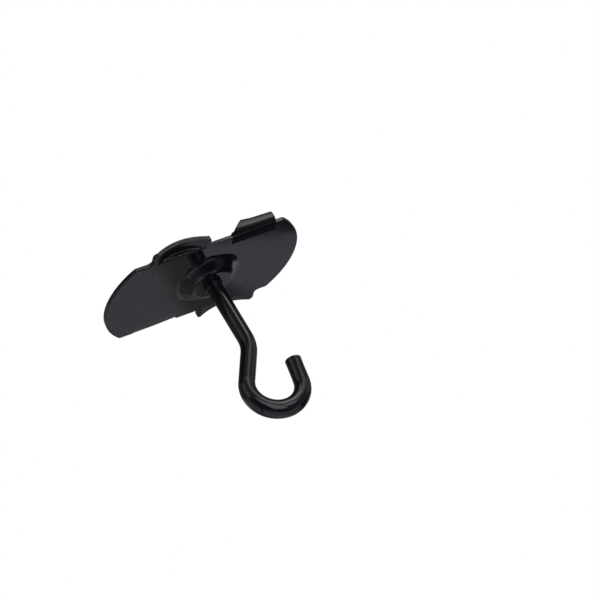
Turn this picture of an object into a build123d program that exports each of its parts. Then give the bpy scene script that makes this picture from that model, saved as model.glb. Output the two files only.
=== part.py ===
from build123d import *
from math import atan2, tan
import os

# A hook for a suspended ceiling, in millimetres, with +Z up toward the ceiling.
# The origin is on the stem's axis, level with the clip's upper face, which rests
# against the underside of the ceiling's grid bar. +X runs along the clip.

# What the clip has to fit
grid_width = 24.0
side_clearance = 0.2

# Sheet and wire
sheet = 1.0
wire = 3.8

# Clip blank: straight long edges, arc-shaped ends
clip_width = grid_width + 2 * (side_clearance + sheet)
straight_length = 37.7
end_bulge = 5.5
blank_corner = 0.7
blank_shift = -1.7
edge_round = 0.2

# Round boss, pressed down toward the hook so that the wire's head is sunk above it
boss_foot = 7.4
boss_floor = 5.2
boss_drop = 2.2
boss_shoulder = 2.2
boss_foot_round = 1.8
boss_reach = 9.5
wall_slope = atan2(boss_drop, boss_foot - boss_floor)
wall_offset = sheet * tan(wall_slope / 2)

# Tongues and jaws are laid out about their own centre, a half turn apart
lug_centre = -1.0

# Arched tongue on each long edge
tongue_at = -8.0
tongue_half = 7.2
arch_half = 6.2
arch_rise = 1.3
tongue_overhang = 3.1
tongue_reach = clip_width / 2 + tongue_overhang
tongue_corner = 0.9
tongue_root = 0.7
riser_outer = 0.4
riser_inner = 0.3

# Rolled-over jaw on each long edge, which hooks over the grid bar's flange
jaw_overhang = 1.1
jaw_reach = clip_width / 2 + jaw_overhang
jaw_root = 10.6
jaw_lip = 10.4
jaw_slope = 0.05
jaw_start = 5.05
jaw_waist = 10.9
jaw_end = 16.1
jaw_top_start = 3.7
jaw_top_waist = 2.53
jaw_top_end = 2.28
jaw_lead_foot = 5.55
jaw_lead_x = 4.5
jaw_lead_z = 3.6
jaw_lead_fillet = 1.2

# Wire hook
neck_radius = 1.5
neck_clearance = 0.05
head_radius = 2.9
head_height = 1.5
head_round = 0.9
collar_radius = 2.25
collar_height = 1.1
collar_round = 0.15
stem_length = 17.4
set_back_radius = 8.1
set_back_angle = 31.6
set_back_length = 7.7
bowl_radius = 6.3
tip_lean = 9.0
tip_length = 5.7
tip_round = 0.2
bowl_swell = 0.24
bowl_bottom = (90 + set_back_angle) / (180 + set_back_angle - tip_lean)

half_width = clip_width / 2
boss_face = -sheet - boss_drop


def side_plane(turn, along, out):
    """A plane across the clip's width: local x along the clip, local y up, facing outward."""
    origin = (lug_centre + turn * along, -turn * out, 0)
    return Plane(origin=origin, x_dir=(turn, 0, 0), z_dir=(0, -turn, 0))


def plan_plane(turn, level):
    """A level plane: local x along the clip, local y outward, seen from below."""
    return Plane(origin=(lug_centre, 0, level), x_dir=(turn, 0, 0), z_dir=(0, 0, -1))


def jaw_section(turn, along, top):
    """One cross-section of a rolled jaw: a gentle rise, then a roll of sheet thickness all round."""
    rise = jaw_slope * (jaw_reach - (top + sheet) / 2 - jaw_root)
    roll = (top + sheet - rise) / 2
    centre_z = (top - sheet + rise) / 2
    centre_u = jaw_reach - roll
    origin = (lug_centre + turn * along, 0, 0)
    with BuildSketch(Plane(origin=origin, x_dir=(0, -turn, 0), z_dir=(-turn, 0, 0))) as section:
        with BuildLine():
            Line((jaw_root, -sheet), (centre_u, rise - sheet))
            ThreePointArc((centre_u, rise - sheet), (jaw_reach, centre_z), (centre_u, top))
            Line((centre_u, top), (jaw_lip, top))
            Line((jaw_lip, top), (jaw_lip, top - sheet))
            Line((jaw_lip, top - sheet), (centre_u, top - sheet))
            ThreePointArc((centre_u, top - sheet), (jaw_reach - sheet, centre_z), (centre_u, rise))
            Line((centre_u, rise), (jaw_root, 0))
            Line((jaw_root, 0), (jaw_root, -sheet))
        make_face()
    return section.sketch


# Clip
with BuildPart() as clip:
    # Blank
    with BuildSketch(Plane.XY.offset(-sheet)) as blank:
        with BuildLine():
            left = blank_shift - straight_length / 2
            right = blank_shift + straight_length / 2
            Line((left, -half_width), (right, -half_width))
            ThreePointArc((right, -half_width), (right + end_bulge, 0), (right, half_width))
            Line((right, half_width), (left, half_width))
            ThreePointArc((left, half_width), (left - end_bulge, 0), (left, -half_width))
        make_face()
        fillet(blank.vertices(), blank_corner)
    extrude(amount=sheet)
    fillet(clip.edges().group_by(Axis.Z)[0] + clip.edges().group_by(Axis.Z)[-1], edge_round)

    for turn in (1, -1):
        # Arched tongue: a riser as thick as the sheet, then the arched strip
        with BuildSketch(side_plane(turn, tongue_at, half_width - sheet)):
            with BuildLine():
                Line((-tongue_half, -sheet), (-tongue_half, 0))
                Line((-tongue_half, 0), (-arch_half, 0))
                ThreePointArc((-arch_half, 0), (0, arch_rise), (arch_half, 0))
                Line((arch_half, 0), (tongue_half, 0))
                Line((tongue_half, 0), (tongue_half, -sheet))
                Line((tongue_half, -sheet), (-tongue_half, -sheet))
            make_face()
        extrude(amount=sheet)
        with BuildSketch(side_plane(turn, tongue_at, half_width - sheet)):
            with BuildLine():
                Line((-tongue_half, -sheet), (-tongue_half, 0))
                Line((-tongue_half, 0), (-arch_half, 0))
                ThreePointArc((-arch_half, 0), (0, arch_rise), (arch_half, 0))
                Line((arch_half, 0), (tongue_half, 0))
                Line((tongue_half, 0), (tongue_half, -sheet))
                Line((tongue_half, -sheet), (arch_half, -sheet))
                ThreePointArc((arch_half, -sheet), (0, arch_rise - sheet), (-arch_half, -sheet))
                Line((-arch_half, -sheet), (-tongue_half, -sheet))
            make_face()
        extrude(amount=tongue_reach - half_width + sheet)

        # Small fillets where the tongue leaves the long edge
        with BuildSketch(plan_plane(turn, -sheet)):
            for side in (-1, 1):
                tongue_end = tongue_at + side * tongue_half
                with Locations((tongue_end + side * tongue_root / 2, half_width + tongue_root / 2)):
                    Rectangle(tongue_root, tongue_root)
                with Locations((tongue_end + side * tongue_root, half_width + tongue_root)):
                    Circle(tongue_root, mode=Mode.SUBTRACT)
        extrude(amount=-sheet)

        # Rounded free corners of the tongue
        with BuildSketch(plan_plane(turn, -2 * sheet)):
            for side in (-1, 1):
                tongue_end = tongue_at + side * tongue_half
                with Locations((tongue_end - side * tongue_corner / 2, tongue_reach - tongue_corner / 2)):
                    Rectangle(tongue_corner, tongue_corner)
                with Locations((tongue_end - side * tongue_corner, tongue_reach - tongue_corner)):
                    Circle(tongue_corner, mode=Mode.SUBTRACT)
        extrude(amount=-4 * sheet, mode=Mode.SUBTRACT)

        # Rounded folds under the tongue
        middle = lug_centre + turn * tongue_at
        fillet(clip.edges().sort_by_distance((middle, -turn * half_width, -sheet))[0], riser_outer)
        arch_crown = (middle, -turn * half_width, arch_rise - sheet)
        fillet(clip.edges().sort_by_distance(arch_crown)[0], riser_inner)

        # Room for the jaw's bend, then the rolled jaw
        with BuildSketch(side_plane(turn, 0, jaw_root)):
            with Locations(((jaw_start + jaw_end) / 2, -sheet / 2)):
                Rectangle(jaw_end - jaw_start, 2 * sheet)
        extrude(amount=half_width, mode=Mode.SUBTRACT)
        jaw_sections = [
            jaw_section(turn, jaw_start, jaw_top_start),
            jaw_section(turn, jaw_waist, jaw_top_waist),
            jaw_section(turn, jaw_end, jaw_top_end),
        ]
        loft(jaw_sections, ruled=True)

        # Slanted lead-in, which starts the jaw over the flange
        with BuildSketch(side_plane(turn, 0, 0)) as lead:
            with BuildLine():
                Polyline(
                    (jaw_start - sheet, 0),
                    (jaw_lead_foot, 0),
                    (jaw_lead_foot + jaw_lead_x, jaw_lead_z),
                    (jaw_lead_foot + jaw_lead_x, 2 * jaw_lead_z),
                    (jaw_start - sheet, 2 * jaw_lead_z),
                    close=True,
                )
            make_face()
            fillet(lead.vertices().sort_by_distance((jaw_lead_foot, 0))[0], jaw_lead_fillet)
        extrude(amount=tongue_reach, mode=Mode.SUBTRACT)

    # Boss
    with BuildSketch(Plane.XY):
        Circle(boss_reach)
    extrude(amount=-sheet, mode=Mode.SUBTRACT)
    with BuildSketch(Plane.XZ) as boss:
        with BuildLine():
            Polyline(
                (neck_radius + neck_clearance, -boss_drop),
                (boss_floor - wall_offset, -boss_drop),
                (boss_foot - wall_offset, 0),
                (boss_reach, 0),
                (boss_reach, -sheet),
                (boss_foot, -sheet),
                (boss_floor, boss_face),
                (neck_radius + neck_clearance, boss_face),
                close=True,
            )
        make_face()
        fillet(boss.vertices().sort_by_distance((boss_floor, boss_face))[0], boss_shoulder)
        fillet(boss.vertices().sort_by_distance((boss_foot, -sheet))[0], boss_foot_round)
        fillet(boss.vertices().sort_by_distance((boss_foot - wall_offset, 0))[0], boss_foot_round + sheet)
        inner_floor = (boss_floor - wall_offset, -boss_drop)
        fillet(boss.vertices().sort_by_distance(inner_floor)[0], boss_shoulder - sheet)
    revolve(axis=Axis.Z)

# Wire hook
with BuildPart() as hook:
    with BuildLine(Plane.XZ):
        stem = Line((0, boss_face - collar_height / 2), (0, boss_face - stem_length + boss_drop))
        set_back = JernArc(stem @ 1, stem % 1, set_back_radius, -set_back_angle)
        run = PolarLine(set_back @ 1, set_back_length, direction=set_back % 1)
    with BuildSketch(Plane.XY.offset(boss_face - collar_height / 2)):
        Circle(wire / 2)
    sweep()

    # The bowl is a little thicker at its lowest point than the rest of the wire
    with BuildLine(Plane.XZ):
        bowl = JernArc(run @ 1, run % 1, bowl_radius, set_back_angle + 180 - tip_lean)
        tip = PolarLine(bowl @ 1, tip_length, direction=bowl % 1)
    stations = [
        (bowl, 0, 0),
        (bowl, bowl_bottom / 2, bowl_swell),
        (bowl, bowl_bottom, bowl_swell),
        (bowl, 1, 0),
        (tip, 1, 0),
    ]
    for piece, along, swell in stations:
        with BuildSketch(Plane(origin=piece @ along, x_dir=(0, 1, 0), z_dir=piece % along)):
            Circle(wire / 2 + swell)
    sweep(multisection=True)
    fillet(hook.faces().sort_by_distance(tip @ 1)[0].edges(), tip_round)
    with BuildSketch(Plane.XZ) as upper:
        with BuildLine():
            Polyline(
                (0, boss_face - collar_height),
                (collar_radius, boss_face - collar_height),
                (collar_radius, boss_face),
                (neck_radius, boss_face),
                (neck_radius, -boss_drop),
                (head_radius, -boss_drop),
                (head_radius, -boss_drop + head_height),
                (0, -boss_drop + head_height),
                close=True,
            )
        make_face()
        head_top = boss_drop - head_height
        fillet(upper.vertices().sort_by_distance((head_radius, -head_top))[0], head_round)
        fillet(upper.vertices().sort_by_distance((collar_radius, boss_face))[0], collar_round)
        collar_foot = (collar_radius, boss_face - collar_height)
        fillet(upper.vertices().sort_by_distance(collar_foot)[0], collar_round)
    revolve(axis=Axis.Z)

os.makedirs("parts", exist_ok=True)
clip.part.label = "clip"
export_step(clip.part, "parts/clip.step")
hook.part.label = "hook"
export_step(hook.part, "parts/hook.step")
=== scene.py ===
from math import cos, pi, radians, sin, tan

import bpy
from mathutils import Matrix, Vector

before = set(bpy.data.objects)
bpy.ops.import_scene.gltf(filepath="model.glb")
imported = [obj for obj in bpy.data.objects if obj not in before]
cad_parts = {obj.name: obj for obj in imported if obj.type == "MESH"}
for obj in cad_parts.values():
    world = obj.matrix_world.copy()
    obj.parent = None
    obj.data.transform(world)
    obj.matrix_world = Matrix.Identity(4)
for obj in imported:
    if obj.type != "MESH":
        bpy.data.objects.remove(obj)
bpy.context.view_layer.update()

# Camera: the photograph's viewing direction, its scale and where the stem's axis meets the clip
AZIMUTH = radians(-25.368)
ELEVATION = radians(-25.972)
ROLL = radians(-31.444)
DISTANCE = 2.0
IMAGE_PX = 600
FRAME_WIDTH = 0.13414
ORIGIN_PX = (206.25, 273.6)
SENSOR_MM = 36.0
CLIP_END = 200.0

# Room: the floor is a normal ceiling height below the clip
FLOOR_DROP = 2.4
FLOOR_SIZE = 60.0
FLOOR_COLOUR = (0.6, 0.6, 0.6, 1.0)
FLOOR_ROUGHNESS = 0.9
FLOOR_WHITENING = 0.6
AMBIENT = 0.5
WHITE = (1.0, 1.0, 1.0)

# What mirrors see: a dim room and the white backdrop behind the object, which fades in between two cosines.
# The room's darker parts are round: azimuth, elevation, and the radii where they are darkest and where they
# end, in degrees
ROOM = 0.14
DARK_PARTS = (
    (-140.0, -12.0, 12.0, 38.0),
    (172.0, -62.0, 12.0, 28.0),
    (38.0, -47.0, 16.0, 21.0),
    (74.0, -35.0, 19.0, 26.0),
)
DARK_PART_LIGHT = 0.05
BACKDROP_COSINES = (0.93, 0.985)

# Lamps stand this far from the middle of the hook, unless they say otherwise
LAMP_DISTANCE = 1.2
LAMP_TARGET = (0.0, 0.0, -0.015)

# The direction, in azimuth and elevation, that the camera sees mirrored in the clip's flat plate
PLATE_MIRROR = (25.4, -26.0)

# A shaded light panel stands there, close to the plate. In it, x is to the right and y is up as seen from
# the plate, in metres
PANEL_DISTANCE = 0.06
PANEL_CORNERS = ((-0.002, -0.012), (0.045, -0.012), (0.045, 0.025), (-0.002, 0.025))
PANEL_BRIGHT = 0.4
PANEL_PLAIN = 0.14
PANEL_DARK = 0.03

# The panel is plain left of a line that leans to the right, and grows bright over a fade that widens upward
BRIGHT_START = 0.001
BRIGHT_LEAN = 0.3
BRIGHT_FADE = 0.0015
BRIGHT_FADE_GROWTH = 0.6

# The panel is dark below a line that rises to the right
DARK_TOP = -0.0104
DARK_RISE = 0.4814
DARK_FADE = 0.001

# The plate's lamp, the light panel and the lamp below the bowl are faintly purple
PANEL_COLOUR = (0.98, 0.91, 1.08)

# Paint
PAINT_COLOUR = (0.005, 0.0065, 0.008, 1.0)
PAINT_GLOSS_TINT = (0.95, 0.95, 1.0, 1.0)
PEEL_SIZE = 0.0009
GRAIN_SIZE = 0.00022

# The paint's roughness varies in soft clouds and in specks
CLOUD_SIZE = 0.006
CLOUD_ROUGHNESS = (-0.03, 0.04)
SPECK_SIZE = 0.0005
SPECK_ROUGHNESS = (-0.03, 0.03)

# Worn edges: the cosines between a face and its rounded edge where wear is full and where it ends
WORN_COLOUR = (0.03, 0.031, 0.034, 1.0)
WEAR_RADIUS = 0.0003
WEAR_SAMPLES = 6
WEAR_COSINES = (0.86, 0.99)
WEAR_PATCH_SIZE = 0.0016
WEAR_PATCH_LEVELS = (0.42, 0.6)

# Dust: a speck's radii, solid and faded out, are shares of the spacing
DUST_COLOUR = (0.12, 0.12, 0.13, 1.0)
DUST_SPACING = 0.011
DUST_RADII = (0.008, 0.02)


def node(tree, kind, **values):
    """A new shader node with its sockets set by name."""
    made = tree.nodes.new(kind)
    for name, value in values.items():
        made.inputs[name.replace("_", " ")].default_value = value
    return made


def math_node(tree, operation, *inputs):
    """A math node, whose inputs are sockets or numbers."""
    made = tree.nodes.new("ShaderNodeMath")
    made.operation = operation
    for place, value in enumerate(inputs):
        if isinstance(value, (int, float)):
            made.inputs[place].default_value = value
        else:
            tree.links.new(value, made.inputs[place])
    return made.outputs[0]


def cosine(tree, first):
    """A dot product node with its first unit vector linked. Its second is for the caller to set or link."""
    made = tree.nodes.new("ShaderNodeVectorMath")
    made.operation = "DOT_PRODUCT"
    tree.links.new(first, made.inputs[0])
    return made


def object_place(tree):
    """The place on the object, in metres."""
    return tree.nodes.new("ShaderNodeTexCoord").outputs["Object"]


def noise(tree, size, detail=3.0):
    """Noise in object space, with blobs of about the given size in metres."""
    made = node(tree, "ShaderNodeTexNoise", Scale=1.0 / size, Detail=detail)
    tree.links.new(object_place(tree), made.inputs["Vector"])
    return made.outputs["Fac"]


def spread(tree, value, low, high, start=0.35, end=0.65):
    """A value from start to end, mapped to low to high."""
    made = node(tree, "ShaderNodeMapRange", From_Min=start, From_Max=end, To_Min=low, To_Max=high)
    tree.links.new(value, made.inputs["Value"])
    return made.outputs["Result"]


def mixed_colour(tree, share):
    """A colour mix node with its share linked. Its colours A and B are for the caller to set or link."""
    made = tree.nodes.new("ShaderNodeMix")
    made.data_type = "RGBA"
    tree.links.new(share, made.inputs["Factor"])
    return made


def bump(tree, height, distance):
    """A bump node with its height linked."""
    made = node(tree, "ShaderNodeBump", Strength=1.0, Distance=distance)
    tree.links.new(height, made.inputs["Height"])
    return made


def edge_wear(tree, strength):
    """0 on open faces and up to strength on sharp edges, broken up by noise."""
    bevel = node(tree, "ShaderNodeBevel", Radius=WEAR_RADIUS)
    bevel.samples = WEAR_SAMPLES
    geometry = tree.nodes.new("ShaderNodeNewGeometry")
    turned = cosine(tree, bevel.outputs["Normal"])
    tree.links.new(geometry.outputs["Normal"], turned.inputs[1])
    bent = spread(tree, turned.outputs["Value"], strength, 0.0, *WEAR_COSINES)
    patches = spread(tree, noise(tree, WEAR_PATCH_SIZE), 0.0, 1.0, *WEAR_PATCH_LEVELS)
    return math_node(tree, "MULTIPLY", bent, patches)


def dust(tree):
    """1 on a few fine specks, seen from above or below, and 0 elsewhere."""
    specks = tree.nodes.new("ShaderNodeTexVoronoi")
    specks.voronoi_dimensions = "2D"
    specks.inputs["Scale"].default_value = 1.0 / DUST_SPACING
    tree.links.new(object_place(tree), specks.inputs["Vector"])
    return spread(tree, specks.outputs["Distance"], 1.0, 0.0, *DUST_RADII)


def new_material(name):
    """A material with Blender's first nodes, and its node tree."""
    material = bpy.data.materials.new(name)
    material.use_nodes = True
    return material, material.node_tree


def paint(name, roughness, peel, grain, wear):
    """Black paint on steel: orange peel, fine grain, slightly worn edges and a few specks of dust."""
    material, tree = new_material(name)
    shader = tree.nodes["Principled BSDF"]

    worn = mixed_colour(tree, edge_wear(tree, wear))
    worn.inputs["A"].default_value = PAINT_COLOUR
    worn.inputs["B"].default_value = WORN_COLOUR
    dusty = mixed_colour(tree, dust(tree))
    dusty.inputs["B"].default_value = DUST_COLOUR
    tree.links.new(worn.outputs["Result"], dusty.inputs["A"])
    tree.links.new(dusty.outputs["Result"], shader.inputs["Base Color"])
    shader.inputs["Specular Tint"].default_value = PAINT_GLOSS_TINT

    clouds = spread(tree, noise(tree, CLOUD_SIZE), *CLOUD_ROUGHNESS)
    specks = spread(tree, noise(tree, SPECK_SIZE), *SPECK_ROUGHNESS)
    varied = math_node(tree, "ADD", clouds, specks)
    tree.links.new(math_node(tree, "ADD", varied, roughness), shader.inputs["Roughness"])

    orange_peel = bump(tree, noise(tree, PEEL_SIZE, detail=1.0), peel)
    fine_grain = bump(tree, noise(tree, GRAIN_SIZE, detail=2.0), grain)
    tree.links.new(orange_peel.outputs["Normal"], fine_grain.inputs["Normal"])
    tree.links.new(fine_grain.outputs["Normal"], shader.inputs["Normal"])
    return material


def dress(name, material):
    """A CAD node keeps its shape and gets a material."""
    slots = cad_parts[name].data.materials
    slots.clear()
    slots.append(material)


def direction(azimuth, elevation):
    """Azimuth 0 is +Y and 90 is +X, in degrees; elevation is up from level."""
    across = cos(radians(elevation))
    return Vector((sin(radians(azimuth)) * across, cos(radians(azimuth)) * across, sin(radians(elevation))))


def facing(tree, toward):
    """The cosine between the world's ray and a direction."""
    along = cosine(tree, tree.nodes.new("ShaderNodeTexCoord").outputs["Generated"])
    along.inputs[1].default_value = toward
    return along.outputs["Value"]


def make_world(view_direction):
    """Soft, even light all round. The background is white, also in mirrors and through glass where it
    stands behind the object as photographed; the rest of the room is dim in mirrors."""
    world = bpy.data.worlds.new("studio")
    bpy.context.scene.world = world
    world.use_nodes = True
    tree = world.node_tree
    path = tree.nodes.new("ShaderNodeLightPath")
    room = ROOM
    for azimuth, elevation, inner, outer in DARK_PARTS:
        toward = facing(tree, direction(azimuth, elevation))
        edge, core = cos(radians(outer)), cos(radians(inner))
        room = math_node(tree, "MULTIPLY", room, spread(tree, toward, 1.0, DARK_PART_LIGHT, edge, core))
    backdrop = spread(tree, facing(tree, view_direction), 0.0, 1.0, *BACKDROP_COSINES)
    mirrored = math_node(tree, "MAXIMUM", room, backdrop)
    glossy, through = path.outputs["Is Glossy Ray"], path.outputs["Is Transmission Ray"]
    in_mirrors = math_node(tree, "MAXIMUM", glossy, through)
    lit = math_node(tree, "MULTIPLY", math_node(tree, "SUBTRACT", 1.0, in_mirrors), AMBIENT)
    strength = math_node(tree, "ADD", math_node(tree, "MULTIPLY", in_mirrors, mirrored), lit)
    strength = math_node(tree, "MAXIMUM", strength, path.outputs["Is Camera Ray"])
    background = tree.nodes["Background"]
    background.inputs["Color"].default_value = (*WHITE, 1.0)
    tree.links.new(strength, background.inputs["Strength"])


def make_floor():
    """A plain pale floor, far below the hook."""
    bpy.ops.mesh.primitive_plane_add(size=FLOOR_SIZE, location=(0.0, 0.0, -FLOOR_DROP))
    floor = bpy.context.object
    floor.name = "floor"
    material, tree = new_material("floor_pale")
    shader = tree.nodes["Principled BSDF"]
    shader.inputs["Base Color"].default_value = FLOOR_COLOUR
    shader.inputs["Roughness"].default_value = FLOOR_ROUGHNESS
    glow = node(tree, "ShaderNodeEmission", Color=(*WHITE, 1.0), Strength=1.0)
    path = tree.nodes.new("ShaderNodeLightPath")
    mix = tree.nodes.new("ShaderNodeMixShader")
    share = math_node(tree, "MULTIPLY", path.outputs["Is Camera Ray"], FLOOR_WHITENING)
    tree.links.new(share, mix.inputs["Fac"])
    tree.links.new(shader.outputs["BSDF"], mix.inputs[1])
    tree.links.new(glow.outputs["Emission"], mix.inputs[2])
    tree.links.new(mix.outputs["Shader"], tree.nodes["Material Output"].inputs["Surface"])
    floor.data.materials.append(material)
    floor.visible_glossy = False


def lamp(name, azimuth, elevation, width, height, radiance,
         distance=LAMP_DISTANCE, about=LAMP_TARGET, colour=WHITE):
    """A softbox that covers width by height degrees, seen from about, in the direction given."""
    data = bpy.data.lights.new(name, "AREA")
    data.shape = "RECTANGLE"
    data.size = 2 * distance * tan(radians(width / 2))
    data.size_y = 2 * distance * tan(radians(height / 2))
    data.energy = radiance * pi * data.size * data.size_y
    data.color = colour
    lit = bpy.data.objects.new(name, data)
    bpy.context.collection.objects.link(lit)
    turn = Matrix.Rotation(radians(-azimuth), 3, "Z") @ Matrix.Rotation(radians(elevation - 90.0), 3, "X")
    turn = turn @ Matrix.Rotation(radians(180.0), 3, "Z")
    lit.matrix_world = Matrix.Translation(Vector(about) + turn.col[2] * distance) @ turn.to_4x4()
    lit.visible_camera = False


def panel_strength(tree):
    """The panel's radiance, shaded by the place in it."""
    place = tree.nodes.new("ShaderNodeSeparateXYZ")
    tree.links.new(object_place(tree), place.inputs["Vector"])
    x, y = place.outputs["X"], place.outputs["Y"]
    start = math_node(tree, "MULTIPLY_ADD", y, BRIGHT_LEAN, BRIGHT_START)
    past_start = math_node(tree, "SUBTRACT", x, start)
    height = math_node(tree, "MAXIMUM", y, 0.0)
    fade = math_node(tree, "MULTIPLY_ADD", height, BRIGHT_FADE_GROWTH, BRIGHT_FADE)
    light = spread(tree, math_node(tree, "DIVIDE", past_start, fade), PANEL_PLAIN, PANEL_BRIGHT, 0.0, 1.0)
    top = math_node(tree, "MULTIPLY_ADD", x, DARK_RISE, DARK_TOP)
    above = math_node(tree, "SUBTRACT", y, top)
    share = spread(tree, above, 0.0, 1.0, -DARK_FADE, DARK_FADE)
    return math_node(tree, "MAXIMUM", math_node(tree, "MULTIPLY", light, share), PANEL_DARK)


def make_panel():
    """The shaded light panel that the plate's right half mirrors. Only mirrors see it."""
    away = direction(*PLATE_MIRROR)
    across = away.cross(Vector((0.0, 0.0, 1.0))).normalized()
    up = across.cross(away)
    mesh = bpy.data.meshes.new("panel")
    mesh.from_pydata([(x, y, 0.0) for x, y in PANEL_CORNERS], [], [range(len(PANEL_CORNERS))])
    panel = bpy.data.objects.new("panel", mesh)
    bpy.context.collection.objects.link(panel)
    turn = Matrix((across, up, -away)).transposed()
    panel.matrix_world = Matrix.Translation(away * PANEL_DISTANCE) @ turn.to_4x4()
    panel.visible_camera = False
    panel.visible_diffuse = False
    panel.visible_shadow = False
    material, tree = new_material("panel_light")
    glow = node(tree, "ShaderNodeEmission", Color=(*PANEL_COLOUR, 1.0))
    tree.links.new(panel_strength(tree), glow.inputs["Strength"])
    tree.links.new(glow.outputs["Emission"], tree.nodes["Material Output"].inputs["Surface"])
    mesh.materials.append(material)


def make_camera():
    """The photograph's camera, turned by hand because its image isn't level. Returns where it looks."""
    turn = Matrix.Rotation(AZIMUTH, 3, "Z") @ Matrix.Rotation(radians(90.0) - ELEVATION, 3, "X")
    turn = turn @ Matrix.Rotation(ROLL, 3, "Z")
    right, up, back = turn.col
    metres_per_px = FRAME_WIDTH / IMAGE_PX
    across = (IMAGE_PX / 2 - ORIGIN_PX[0]) * metres_per_px
    down = (IMAGE_PX / 2 - ORIGIN_PX[1]) * metres_per_px
    target = right * across - up * down
    data = bpy.data.cameras.new("photo_camera")
    data.sensor_width = SENSOR_MM
    data.lens = SENSOR_MM * DISTANCE / FRAME_WIDTH
    data.clip_end = CLIP_END
    camera = bpy.data.objects.new("photo_camera", data)
    bpy.context.collection.objects.link(camera)
    camera.matrix_world = Matrix.Translation(target + back * DISTANCE) @ turn.to_4x4()
    bpy.context.scene.camera = camera
    return -back


dress("clip", paint("clip_paint", roughness=0.1, peel=0.0000018, grain=0.0000003, wear=0.3))
dress("hook", paint("hook_paint", roughness=0.11, peel=0.000001, grain=0.0000002, wear=0.2))

make_world(make_camera())
make_floor()
lamp("front", azimuth=177.5, elevation=-7, width=27, height=49, radiance=1.7)
lamp("front_side", azimuth=156, elevation=3, width=12, height=18, radiance=2.2)
lamp("key", azimuth=148, elevation=40, width=34, height=20, radiance=1.2)
lamp("key_low", azimuth=146, elevation=24, width=26, height=14, radiance=0.9)
lamp("stem_key", azimuth=147, elevation=26, width=20, height=14, radiance=1.6,
     distance=0.06, about=(0.0, 0.0, -0.013))
lamp("high", azimuth=160, elevation=58, width=38, height=18, radiance=1.0)
lamp("right", azimuth=107, elevation=7, width=40, height=24, radiance=0.25)
lamp("upper_left", azimuth=-130, elevation=32, width=36, height=35, radiance=0.45)
lamp("side", azimuth=-75, elevation=-8, width=60, height=45, radiance=0.35)
lamp("low_left", azimuth=-60, elevation=-45, width=90, height=50, radiance=0.07)
lamp("behind_left", azimuth=-30, elevation=12, width=36, height=22, radiance=0.6)
lamp("behind_right", azimuth=54, elevation=-3, width=26, height=22, radiance=0.42)
lamp("plate_left", *PLATE_MIRROR, width=20, height=24, radiance=0.205,
     distance=0.25, about=(-0.061, 0.0, 0.0), colour=PANEL_COLOUR)
make_panel()
lamp("bowl_below", azimuth=0, elevation=-90, width=114, height=96, radiance=0.38,
     distance=0.02, about=(-0.004, 0.012, -0.041), colour=PANEL_COLOUR)
bpy.context.scene.view_settings.view_transform = "Standard"
